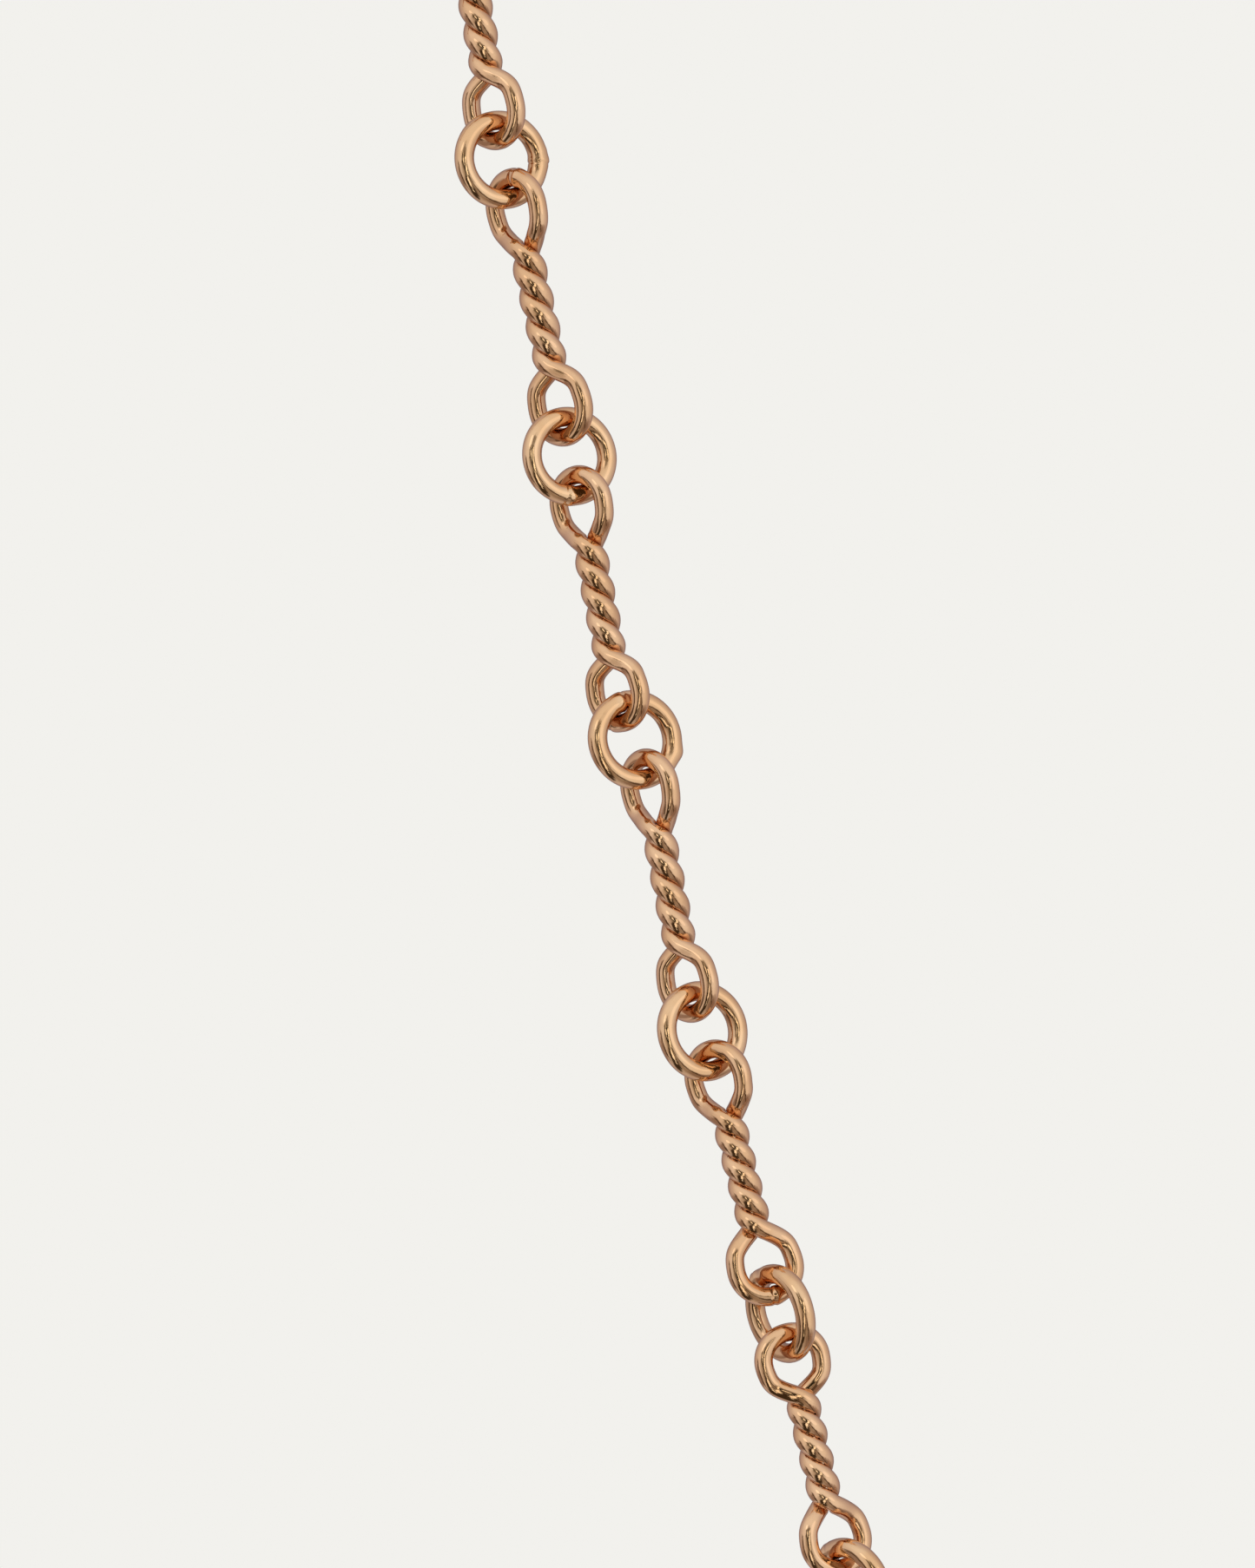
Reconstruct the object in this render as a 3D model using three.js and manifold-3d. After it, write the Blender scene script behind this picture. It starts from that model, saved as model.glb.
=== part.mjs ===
// Pocket watch chain: twisted wire links joined by round jump rings, with a T-bar for the waistcoat
// at one end and a swivel clip for the watch at the other. It lies along a surface at z = 0.
// Millimetres, +Z up. The origin is at the centre of the box's underside.
import * as THREE from "three";
import { mergeVertices } from "three/addons/utils/BufferGeometryUtils.js";
import Module from "manifold-3d";

const wasm = await Module();
wasm.setup();

// --- Driving dimensions -------------------------------------------------------------------------

const GAP = 0.2; // play left between two wires that hook into each other

const RING = {
  radius: 2.65, // of the wire's centreline
  wire: 0.62, // the wire's own radius
  steps: 18,
};

// A link is one loop of wire, doubled and twisted, with a round eye left open at each end.
const LINK = {
  wire: 0.575,
  ropeRadius: 0.59, // from the link's axis to a strand's centreline
  halfLay: 1.89, // length over which the two strands change places
  crossings: 5, // times that one strand passes over the other
  eyeRadius: 2,
  eyeCentre: 6.5, // from the link's middle
  steps: 72,
};
LINK.ropeEnd = (LINK.halfLay * (LINK.crossings - 1)) / 2;
LINK.halfLength = LINK.eyeCentre + LINK.eyeRadius; // to the middle of the wire at the eye's end

const WIRE_SIDES = 6;
const ROUND_SIDES = 16;
const TURNED_SIDES = 40; // of the bar and the clip's boss
const ARM_STEPS = 40; // along the hook's arm
const SWING_SIDES = 64; // of the circle that the gate's tip swings on
const PAST = 1; // how far a cutting shape runs past what it cuts

const BAR = {
  length: 32,
  radius: 1.5,
  knobRadius: 2.25,
  knobLength: 3.4,
  knobShoulder: 0.7, // length over which the knob swells, and shrinks again
  shoulderRadius: 2.03,
  endFaceRadius: 1.3,
  waistRadius: 1.1,
  waistWidth: 1.4,
};

// The bail is a figure of eight in wire: one loop runs round the bar's waist, the other is an eye.
const BAIL = {
  wire: 0.5,
  collarRadius: 1.68,
  eyeRadius: 1.75,
};

const CLIP = {
  hookInner: 3.5,
  hookOuter: 5.4,
  thickness: 3.0,
  tipAngle: -68, // degrees from the clip's far end, in the plane of the hook
  heelAngle: 160,
  heelHalfWidth: 2.3,
  bossRadius: 2.5,
  bossStart: -9.4,
  bossEnd: -5.4,
  heelEnd: -4.0,
  stemRadius: 0.7,
  stemBore: 0.78,
  rivetRadius: 1.0,
  rivetLength: 0.55,
  rivetPlay: 0.08,
  rivetBite: 0.1, // how far the stem runs into its rivet head
  beakStart: new THREE.Vector2(0.5, -2), // the beak lies beyond and below this point
  bowRadius: 1.9,
  bowWire: 0.55,
  bowPlay: 0.25, // between the bow and the boss
};

const GATE = {
  pin: new THREE.Vector2(-5.2, -1.75),
  pinRadius: 0.36,
  pinBore: 0.42,
  inner: 3.65,
  outer: 5.1,
  rootAngle: -142,
  tipAngle: -38,
  reach: 7.95, // from the pin to the gate's tip
  tipPlay: 0.1,
  webTop: 0.45, // of the tongue's web, above the pin
  gripAngle: -130, // the tongue runs into the arm as far as this
  gripInset: 0.1,
  thickness: 2.4,
  tongue: 1.0,
  tongueRadius: 0.75,
  slot: 1.3,
  slotTop: -0.92,
  slotStart: -8.6,
};

const SPRING = {
  thickness: 0.22,
  width: 0.8,
  start: new THREE.Vector2(-8.5, -1.3),
  bend: new THREE.Vector2(-7.2, -1.9),
  end: new THREE.Vector2(-6.1, -1.5),
};

// How the chain lies. Each link has the heading of the line between its rings, from -Y towards +X,
// and the roll of its two eyes about that line, in degrees; a positive roll lowers the eye's
// right-hand side. The links are twisted by hand, so each has its own length, as a share of the
// nominal one, and some lie a little askew of the line between their rings or to one side of it.
const LINK_LIE = [
  { heading: 66, roll: [-50, -46], length: 1.01 },
  { heading: 37, roll: [-46, -44], length: 0.99 },
  { heading: 10, roll: [-44, -42], length: 1, aside: 0.1 },
  { heading: 13, roll: [-45, -40], length: 1.03, askew: -0.5, aside: 0.2 },
  { heading: 13, roll: [-42, -42], length: 0.98, askew: -2, aside: -0.2 },
  { heading: 13, roll: [-48, -45], length: 1.01, askew: -2 },
  { heading: 15.5, roll: [-36, 12], length: 0.985, askew: -1.5 },
  { heading: 15, roll: [16, 26], length: 0.94, askew: -1.5, aside: -0.2 },
  { heading: 30, roll: [26, 44], length: 1 },
  { heading: 58, roll: [46, 46], length: 1.01 },
  { heading: 84, roll: [46, 45], length: 0.99 },
];
const RING_ROLL = [17, 25, 25, 26, 24, 23, 28, -54, -50, -25, -24, -24];
const MIDDLE_LINK = 5; // the link that the rest of the chain is laid out from
const BAIL_ROLL = 90;
const BOW_ROLL = 45;
const END_HEADING = 90; // the T-bar and the clip both lie along +X

// --- Materials ----------------------------------------------------------------------------------

function metal(color, roughness) {
  return new THREE.MeshStandardMaterial({ color, roughness, metalness: 1 });
}

const ROSE_GOLD = 0xe0a070;
const finish = {
  link: () => metal(ROSE_GOLD, 0.16),
  ring: () => metal(ROSE_GOLD, 0.14),
  fitting: () => metal(0xdb9b6c, 0.2),
  spring: () => metal(0xa8a49c, 0.35),
};

// --- Solids -------------------------------------------------------------------------------------

function solidOf(geometry) {
  const bare = geometry.index ? geometry.toNonIndexed() : geometry.clone();
  bare.deleteAttribute("normal");
  bare.deleteAttribute("uv");
  const merged = mergeVertices(bare, 1e-4);
  return new wasm.Manifold(
    new wasm.Mesh({
      numProp: 3,
      vertProperties: merged.attributes.position.array,
      triVerts: new Uint32Array(merged.index.array),
    }),
  );
}

function geometryOf(solid) {
  const mesh = solid.getMesh();
  const geometry = new THREE.BufferGeometry();
  geometry.setAttribute("position", new THREE.BufferAttribute(mesh.vertProperties, 3));
  geometry.setIndex(new THREE.BufferAttribute(mesh.triVerts, 1));
  return geometry;
}

// A cylinder along X from one station to another.
function rodX(radius, start, end, sides = ROUND_SIDES) {
  const rod = new THREE.CylinderGeometry(radius, radius, end - start, sides);
  return rod.rotateZ(-Math.PI / 2).translate((start + end) / 2, 0, 0);
}

// A cylinder along Z, centred on z = 0 over a point of the XY plane.
function rodZ(radius, length, at, sides = ROUND_SIDES) {
  const rod = new THREE.CylinderGeometry(radius, radius, length, sides);
  return rod.rotateX(Math.PI / 2).translate(at.x, at.y, 0);
}

// A flat plate cut to an outline in the XY plane, centred on z = 0.
function plate(shape, thickness, curveSegments = 20) {
  const options = { depth: thickness, bevelEnabled: false, curveSegments };
  return new THREE.ExtrudeGeometry(shape, options).translate(0, 0, -thickness / 2);
}

function blockBetween(low, high) {
  const size = new THREE.Vector3().subVectors(high, low);
  const centre = new THREE.Vector3().addVectors(high, low).multiplyScalar(0.5);
  return new THREE.BoxGeometry(size.x, size.y, size.z).translate(centre.x, centre.y, centre.z);
}

// Part of a flat ring, between two angles in degrees.
function ringSector(inner, outer, from, to) {
  const [a, b] = [from, to].map(THREE.MathUtils.degToRad);
  const shape = new THREE.Shape();
  shape.absarc(0, 0, outer, a, b, false);
  shape.absarc(0, 0, inner, b, a, true);
  shape.closePath();
  return shape;
}

// --- Links and rings ----------------------------------------------------------------------------

// The wire's centreline from the middle of the rope, where this strand is on the +Y side, out to
// the end of the +Z eye. The stretch follows the rope, then runs straight to the eye's circle.
function quarterPoint(t) {
  const { ropeRadius, halfLay, ropeEnd, eyeRadius, eyeCentre } = LINK;
  const pitch = Math.PI / halfLay;
  const ropeLength = ropeEnd * Math.hypot(1, ropeRadius * pitch);
  const flareAngle = Math.asin(eyeRadius / (eyeCentre - ropeEnd));
  const flareLength = (eyeCentre - ropeEnd) * Math.cos(flareAngle);
  const arcAngle = Math.PI / 2 + flareAngle;
  const length = t * (ropeLength + flareLength + eyeRadius * arcAngle);
  if (length <= ropeLength) {
    const z = (ropeEnd * length) / ropeLength;
    const turn = pitch * z;
    return new THREE.Vector3(ropeRadius * Math.sin(turn), ropeRadius * Math.cos(turn), z);
  }
  if (length <= ropeLength + flareLength) {
    const along = length - ropeLength;
    const lift = (ropeRadius * (1 + Math.cos((Math.PI * along) / flareLength))) / 2;
    return new THREE.Vector3(
      along * Math.sin(flareAngle),
      lift,
      ropeEnd + along * Math.cos(flareAngle),
    );
  }
  const angle = (length - ropeLength - flareLength) / eyeRadius - flareAngle;
  return new THREE.Vector3(
    eyeRadius * Math.cos(angle),
    0,
    eyeCentre + eyeRadius * Math.sin(angle),
  );
}

// The whole loop: four quarters, each the first one turned half a turn about an axis of the link.
class LinkLoop extends THREE.Curve {
  constructor(stretch, untwist) {
    super();
    this.stretch = stretch; // its length, as a share of the nominal one
    this.untwist = untwist; // angle between the planes of the two eyes, in radians
    this.arcLengthDivisions = 720;
  }

  getPoint(u, target = new THREE.Vector3()) {
    const quarter = Math.min(3, Math.floor(u * 4));
    const t = u * 4 - quarter;
    const outward = quarter % 2 === 0;
    target.copy(quarterPoint(outward ? t : 1 - t));
    if (quarter === 1) target.set(-target.x, -target.y, target.z);
    if (quarter === 2) target.set(target.x, -target.y, -target.z);
    if (quarter === 3) target.set(-target.x, target.y, -target.z);
    const share = THREE.MathUtils.clamp(target.z / LINK.ropeEnd, -1, 1) / 2;
    target.z *= this.stretch;
    return target.applyAxisAngle(new THREE.Vector3(0, 0, 1), this.untwist * share);
  }
}

// A closed path, so the tube is a closed surface with no ends.
function linkGeometry(stretch, untwist) {
  const tube = new THREE.TubeGeometry(
    new LinkLoop(stretch, untwist),
    LINK.steps,
    LINK.wire,
    WIRE_SIDES,
    true,
  );
  return geometryOf(solidOf(tube));
}

function ringGeometry() {
  return new THREE.TorusGeometry(RING.radius, RING.wire, WIRE_SIDES, RING.steps);
}

// --- End fittings -------------------------------------------------------------------------------

// The T-bar, turned about Y, with a waist in its middle and a flat on the end of each knob.
function barGeometry() {
  const half = BAR.length / 2;
  const knob = half - BAR.knobLength;
  const waist = BAR.waistWidth / 2;
  const shoulder = BAR.radius - BAR.waistRadius;
  const upper = [
    [BAR.waistRadius, 0],
    [BAR.waistRadius, waist],
    [BAR.radius, waist + shoulder],
    [BAR.radius, knob],
    [BAR.shoulderRadius, knob + BAR.knobShoulder],
    [BAR.knobRadius, knob + BAR.knobLength / 2],
    [BAR.shoulderRadius, half - BAR.knobShoulder],
    [BAR.endFaceRadius, half],
    [0, half],
  ];
  const lower = upper.slice(1).reverse();
  const profile = [...lower.map(([r, y]) => [r, -y]), ...upper.slice(1)];
  return new THREE.LatheGeometry(
    profile.map(([r, y]) => new THREE.Vector2(r, y)),
    TURNED_SIDES,
  );
}

// The collar loop is centred on the bar; the eye lies towards +X. Both stand in the XZ plane.
function bailGeometry() {
  const { wire, collarRadius, eyeRadius } = BAIL;
  const collar = new THREE.TorusGeometry(collarRadius, wire, WIRE_SIDES, RING.steps);
  const eye = new THREE.TorusGeometry(eyeRadius, wire, WIRE_SIDES, RING.steps);
  collar.rotateX(Math.PI / 2);
  eye.rotateX(Math.PI / 2).translate(collarRadius + eyeRadius, 0, 0);
  return geometryOf(solidOf(collar).add(solidOf(eye)));
}

// The clip lies along +X with the hook's inner circle centred on the origin.
const BOW_CENTRE = CLIP.bossStart - CLIP.bowPlay - CLIP.bowWire - CLIP.bowRadius;

// A loop for the last ring, on a stem that is riveted over inside the hook.
function bowGeometry() {
  const loop = new THREE.TorusGeometry(CLIP.bowRadius, CLIP.bowWire, WIRE_SIDES, RING.steps);
  loop.rotateX(-THREE.MathUtils.degToRad(BOW_ROLL)).translate(BOW_CENTRE, 0, 0);
  const rivetStart = CLIP.heelEnd + CLIP.rivetPlay;
  const rivetEnd = rivetStart + CLIP.rivetLength;
  const stem = rodX(CLIP.stemRadius, BOW_CENTRE + CLIP.bowRadius, rivetStart + CLIP.rivetBite);
  const rivet = rodX(CLIP.rivetRadius, rivetStart, rivetEnd);
  return geometryOf(solidOf(loop).add(solidOf(stem)).add(solidOf(rivet)));
}

// The hook: a round boss and a flat heel, with the hooked arm curling round from the heel. The arm
// ends in a beak, hollowed to the circle that the gate's tip swings on.
function hookGeometry() {
  const arm = ringSector(CLIP.hookInner, CLIP.hookOuter, CLIP.tipAngle, CLIP.heelAngle);
  const heel = blockBetween(
    new THREE.Vector3(CLIP.bossEnd - PAST, -CLIP.heelHalfWidth, -CLIP.thickness / 2),
    new THREE.Vector3(CLIP.heelEnd, CLIP.heelHalfWidth, CLIP.thickness / 2),
  );
  const slot = blockBetween(
    new THREE.Vector3(GATE.slotStart, -CLIP.bossRadius - PAST, -GATE.slot / 2),
    new THREE.Vector3(CLIP.heelEnd + PAST, GATE.slotTop, GATE.slot / 2),
  );
  const beakSide = blockBetween(
    new THREE.Vector3(CLIP.beakStart.x, -CLIP.hookOuter - PAST, -CLIP.thickness),
    new THREE.Vector3(CLIP.hookOuter + PAST, CLIP.beakStart.y, CLIP.thickness),
  );
  const swing = rodZ(GATE.reach + GATE.tipPlay, CLIP.thickness + PAST, GATE.pin, SWING_SIDES);
  const boss = rodX(CLIP.bossRadius, CLIP.bossStart, CLIP.bossEnd, TURNED_SIDES);
  const bore = rodX(CLIP.stemBore, CLIP.bossStart - PAST, CLIP.heelEnd + PAST);
  const solid = solidOf(plate(arm, CLIP.thickness, ARM_STEPS))
    .subtract(solidOf(swing).intersect(solidOf(beakSide)))
    .add(solidOf(heel))
    .add(solidOf(boss))
    .subtract(solidOf(bore))
    .subtract(solidOf(slot))
    .subtract(solidOf(rodZ(GATE.pinBore, CLIP.thickness + PAST, GATE.pin)));
  return geometryOf(solid);
}

// The spring-loaded arm that closes the hook, with a thin tongue that turns on the pin.
function gateGeometry() {
  const arm = ringSector(GATE.inner, GATE.outer, GATE.rootAngle, GATE.tipAngle);
  const root = THREE.MathUtils.degToRad(GATE.rootAngle);
  const across = (radius) => [radius * Math.cos(root), radius * Math.sin(root)];
  const web = new THREE.Shape();
  web.moveTo(GATE.pin.x, GATE.pin.y + GATE.webTop);
  web.lineTo(GATE.pin.x, GATE.pin.y - GATE.tongueRadius);
  web.lineTo(...across(GATE.outer - GATE.gripInset));
  web.lineTo(...across(GATE.inner + GATE.gripInset));
  web.closePath();
  const inset = GATE.gripInset;
  const gripRoot = GATE.rootAngle - 1; // a degree into the web, so that they join
  const grip = ringSector(GATE.inner + inset, GATE.outer - inset, gripRoot, GATE.gripAngle);
  const solid = solidOf(plate(arm, GATE.thickness))
    .intersect(solidOf(rodZ(GATE.reach, CLIP.thickness, GATE.pin, SWING_SIDES)))
    .add(solidOf(plate(web, GATE.tongue)))
    .add(solidOf(plate(grip, GATE.tongue)))
    .add(solidOf(rodZ(GATE.tongueRadius, GATE.tongue, GATE.pin)))
    .subtract(solidOf(rodZ(GATE.pinBore, CLIP.thickness, GATE.pin)));
  return geometryOf(solid);
}

function gatePinGeometry() {
  return rodZ(GATE.pinRadius, CLIP.thickness, GATE.pin);
}

// A flat leaf in the gate's slot that presses on the tongue.
function gateSpringGeometry() {
  const path = new THREE.QuadraticBezierCurve(SPRING.start, SPRING.bend, SPRING.end);
  const offset = SPRING.thickness / 2;
  const edge = path.getPoints(6);
  const shape = new THREE.Shape(edge.map((p) => new THREE.Vector2(p.x, p.y + offset)));
  edge.reverse().forEach((p) => shape.lineTo(p.x, p.y - offset));
  shape.closePath();
  return plate(shape, SPRING.width);
}

// --- Laying out ---------------------------------------------------------------------------------

const radians = THREE.MathUtils.degToRad;
const UP = new THREE.Vector3(0, 0, 1);

// Axes of a piece that points along `ahead` and is rolled about it: X lateral, Y face, Z ahead.
function axesAlong(ahead, roll) {
  const side = new THREE.Vector3().crossVectors(UP, ahead).normalize();
  const face = new THREE.Vector3().crossVectors(ahead, side);
  side.applyAxisAngle(ahead, -radians(roll));
  face.applyAxisAngle(ahead, -radians(roll));
  return { side, face, ahead: ahead.clone() };
}

// Height of a ring's centre over the surface: the ring or an eye beside it touches first.
function ringHeight(index) {
  const rest = (radius, wire, roll) => radius * Math.abs(Math.sin(radians(roll))) + wire;
  const heights = [rest(RING.radius, RING.wire, RING_ROLL[index])];
  const before = LINK_LIE[index - 1];
  const after = LINK_LIE[index];
  if (before) heights.push(rest(LINK.eyeRadius, LINK.wire, before.roll[1]));
  if (after) heights.push(rest(LINK.eyeRadius, LINK.wire, after.roll[0]));
  if (!before) heights.push(rest(BAIL.eyeRadius, BAIL.wire, BAIL_ROLL), BAR.knobRadius);
  if (!after) heights.push(CLIP.bossRadius);
  return Math.max(...heights);
}

// From a ring's centre to the middle of the wire of an eye that hooks into it.
const hookReach = (wire) => RING.radius - RING.wire - wire - GAP;

// From one ring's centre to the next along a link.
function stepAlong(lie, rise) {
  const pitch = 2 * (hookReach(LINK.wire) + LINK.halfLength * lie.length);
  const run = Math.sqrt(pitch ** 2 - rise ** 2);
  const angle = radians(lie.heading);
  return new THREE.Vector3(run * Math.sin(angle), -run * Math.cos(angle), rise);
}

function ringCentres() {
  const count = LINK_LIE.length + 1;
  const heights = Array.from({ length: count }, (_, i) => ringHeight(i));
  const steps = LINK_LIE.map((lie, i) => stepAlong(lie, heights[i + 1] - heights[i]));
  const centres = new Array(count);
  const half = steps[MIDDLE_LINK].clone().multiplyScalar(0.5);
  const middle = new THREE.Vector3(0, 0, (heights[MIDDLE_LINK] + heights[MIDDLE_LINK + 1]) / 2);
  centres[MIDDLE_LINK] = middle.clone().sub(half);
  centres[MIDDLE_LINK + 1] = middle.clone().add(half);
  for (let i = MIDDLE_LINK - 1; i >= 0; i--) centres[i] = centres[i + 1].clone().sub(steps[i]);
  for (let i = MIDDLE_LINK + 2; i < count; i++) centres[i] = centres[i - 1].clone().add(steps[i - 1]);
  return centres;
}

const pad = (number) => String(number).padStart(2, "0");
const chain = new THREE.Group();

function place(name, geometry, material, origin, axes) {
  const mesh = new THREE.Mesh(geometry, material);
  mesh.name = name;
  mesh.position.copy(origin);
  mesh.quaternion.setFromRotationMatrix(new THREE.Matrix4().makeBasis(...axes));
  chain.add(mesh);
  return mesh;
}

const centres = ringCentres();
const endAhead = new THREE.Vector3(0, -1, 0).applyAxisAngle(UP, radians(END_HEADING));

// Where a link's middle is and which way it points.
function linkLie(lie, index) {
  const line = new THREE.Vector3().subVectors(centres[index + 1], centres[index]).normalize();
  const side = new THREE.Vector3().crossVectors(UP, line).normalize();
  const middle = new THREE.Vector3().addVectors(centres[index], centres[index + 1]);
  middle.multiplyScalar(0.5).addScaledVector(side, lie.aside ?? 0);
  const ahead = line.clone().applyAxisAngle(UP, radians(lie.askew ?? 0));
  return { line, ahead, middle };
}

const links = LINK_LIE.map(linkLie);

function addLink(index) {
  const { roll, length } = LINK_LIE[index];
  const [first, last] = roll;
  const { ahead, middle } = links[index];
  const { side, face } = axesAlong(ahead, (first + last) / 2);
  const geometry = linkGeometry(length, radians(first - last));
  place("link_" + pad(index + 1), geometry, finish.link(), middle, [side, face, ahead]);
}

function addRing(index) {
  const before = links[index - 1]?.line ?? endAhead;
  const after = links[index]?.line ?? endAhead;
  const ahead = new THREE.Vector3().addVectors(before, after).normalize();
  const { side, face } = axesAlong(ahead, RING_ROLL[index]);
  place("ring_" + pad(index + 1), ringGeometry(), finish.ring(), centres[index], [ahead, side, face]);
}

const WORLD_AXES = [new THREE.Vector3(1, 0, 0), new THREE.Vector3(0, 1, 0), new THREE.Vector3(0, 0, 1)];

function addBar() {
  const reach = hookReach(BAIL.wire) + BAIL.collarRadius + 2 * BAIL.eyeRadius;
  const origin = centres[0].clone().addScaledVector(endAhead, -reach);
  place("t_bar", barGeometry(), finish.fitting(), origin, WORLD_AXES);
  place("t_bar_bail", bailGeometry(), finish.fitting(), origin, WORLD_AXES);
}

function addClip() {
  const reach = hookReach(CLIP.bowWire) + CLIP.bowRadius - BOW_CENTRE;
  const origin = centres.at(-1).clone().addScaledVector(endAhead, reach);
  place("swivel_bow", bowGeometry(), finish.fitting(), origin, WORLD_AXES);
  place("swivel_hook", hookGeometry(), finish.fitting(), origin, WORLD_AXES);
  place("swivel_gate", gateGeometry(), finish.fitting(), origin, WORLD_AXES);
  place("gate_pin", gatePinGeometry(), finish.fitting(), origin, WORLD_AXES);
  place("gate_spring", gateSpringGeometry(), finish.spring(), origin, WORLD_AXES);
}

addBar();
centres.forEach((_, i) => addRing(i));
links.forEach((_, i) => addLink(i));
addClip();

const box = new THREE.Box3().setFromObject(chain, true);
const middle = box.getCenter(new THREE.Vector3());
chain.position.set(-middle.x, -middle.y, -box.min.z);

export default chain;
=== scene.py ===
"""Pocket watch chain: the looks of twisted wire links, jump rings, a T-bar and a swivel clip."""

import math  # noqa: E402

import bpy  # noqa: E402
import numpy as np  # noqa: E402
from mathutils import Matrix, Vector, noise  # noqa: E402


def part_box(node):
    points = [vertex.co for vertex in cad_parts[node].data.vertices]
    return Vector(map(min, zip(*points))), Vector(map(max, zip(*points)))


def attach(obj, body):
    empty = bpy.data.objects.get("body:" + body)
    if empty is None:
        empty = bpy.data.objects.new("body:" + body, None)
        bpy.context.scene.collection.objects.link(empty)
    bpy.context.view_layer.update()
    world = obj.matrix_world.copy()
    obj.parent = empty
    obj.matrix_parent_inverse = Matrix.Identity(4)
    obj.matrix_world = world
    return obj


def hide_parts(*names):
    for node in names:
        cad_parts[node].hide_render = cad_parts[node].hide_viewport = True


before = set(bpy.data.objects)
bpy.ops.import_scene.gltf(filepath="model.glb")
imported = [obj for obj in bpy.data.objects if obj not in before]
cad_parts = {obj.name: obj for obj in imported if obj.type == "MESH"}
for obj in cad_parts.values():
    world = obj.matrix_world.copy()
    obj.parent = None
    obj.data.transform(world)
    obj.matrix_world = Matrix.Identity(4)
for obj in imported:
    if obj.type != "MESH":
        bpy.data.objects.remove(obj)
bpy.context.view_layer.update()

MM = 0.001  # shapes are worked out in millimetres and written in metres
LINKS = [f"link_{i:02d}" for i in range(1, 12)]
RINGS = [f"ring_{i:02d}" for i in range(1, 13)]
RUN = np.array([0.22, -0.97, 0.0])  # the way the chain runs across the middle of its length

# --- Sizes, in millimetres unless they say otherwise --------------------------------------------

WIRE_SIDES = 28
UNEVEN = 0.012  # of the wire's section over about a wire's width
UNEVEN_SIZE = 1.9
RIPPLE = 0.004  # finer unevenness that breaks up the reflections
RIPPLE_SIZE = 0.6
WIRE_INNER_SHADE = 0.35  # how strongly painted shade darkens the inner side of a ring or an eye

RING_RADIUS = 2.65
RING_WIRE = 0.65
RING_STEPS = 144
OUT_OF_TRUE = 0.03
RING_SEAM = (0.035, 0.09)  # depth and width
RING_SEAMS = [200, 20, 165, 75, 340, 185, 25, 205]  # degrees round the ring, taken in turn
RING_NICKS = 5
RING_NICK = (0.03, 0.3)  # depth and reach
NICK_SPREAD = 0.5  # of the nicks about the wire's centreline
BEAD_RADIUS = RING_RADIUS + 0.5  # where a bead sits, from the ring's centre
# Solder beads: degrees round the ring from the way the chain runs, how far off its plane, height
# and reach.
RING_BEADS = {
    "ring_04": [(78, 0.3, 0.05, 0.35), (92, 0.4, 0.04, 0.2)],
    "ring_06": [(62, 0.1, 0.16, 0.5)],
    "ring_08": [(205, 0.5, 0.14, 0.45), (185, 0.6, 0.10, 0.4)],
}

LINK_WIRE = 0.615
LINK_WIRE_CAD = 0.575
STRAND_WIRE = 0.64  # the two strands are pressed together, so that each fills out a little
ROPE_RADIUS = 0.50
HALF_LAY = 1.89
ROPE_END = 3.78
EYE_RADIUS = 2.0
EYE_CENTRE = 6.5
EYE_FULLNESS = 0.30  # how far the sides of an eye bow out between the twist and its round end
FULLNESS_START = ROPE_END - 0.25
FULLNESS_END = EYE_CENTRE - 0.35
QUARTER_STEPS = 84
SOFTEN = 14  # passes that turn the path's corners into curves
WANDER = 0.045  # of the wire in an eye, off its true path
WANDER_SIZE = 5.0
LINK_SEAM = (0.04, 0.08)  # depth and width
LINK_SEAMS = [0, 9, -12, 4, -6, 14]  # steps from the end of an eye, taken in turn
LINK_NICKS = 9
LINK_NICK = (0.03, 0.28)  # depth and reach
STRANDS_APART = 0.005  # half the gap between the pressed strands
GROOVE_DEPTH = (0.74, 0.40)  # radius at the bottom of the groove, and how far a strand rises from it

LATHE_SIDES = 72
BAR_RADIUS = 1.5
BAR_WAIST = 1.1
BAR_WAIST_HALF = 0.7
BAR_NECK = 1.32
BAR_KNOB_LENGTH = 3.4
KNOB_SQUARENESS = 2.4  # 2 would be a true ball
BAIL_WIRE = 0.5
BAIL_COLLAR_RADIUS = 1.68
BAIL_EYE_RADIUS = 1.75
BAIL_EYE_OFFSET = 3.43
HOOK_RADIUS = 5.4
BOW_RADIUS = 1.9
BOW_WIRE = 0.55
BOW_OFFSET = 12.1  # from the hook's centre
BOW_TILT = math.radians(-45)
STEM = [(0.7, -10.2), (0.7, -3.86), (1.0, -3.80), (0.95, -3.5), (0.4, -3.37), (0, -3.36)]
PIN_RADIUS = 0.36
PIN_END_RADIUS = 0.30
PIN_CHAMFER = 0.1

# How a fused piece is made: size of its voxels, and passes of smoothing.
WIRE_SKIN = (0.06, 6)
HOOK_SKIN = (0.09, 30)
GATE_SKIN = (0.07, 14)
SPRING_SKIN = (0.035, 3)

PALE = (0.888, 0.879, 0.846)
FLOOR_DEPTH = 150  # far enough below for the hanging chain to clear it
VIEW_HEIGHT = 103.2  # of the stretch of chain in the picture
VIEW_SHIFT = (-0.5, -2.9)  # of the picture's middle from the middle ring
CAMERA_DISTANCE = 0.55  # in metres
SWEEP_SIDES = 64
SWEEP_PROFILE = [(0.001, 0), (4000, 0), (4600, 300), (5000, 1000), (5000, 4000)]


# --- Reading the frame --------------------------------------------------------------------------


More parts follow.
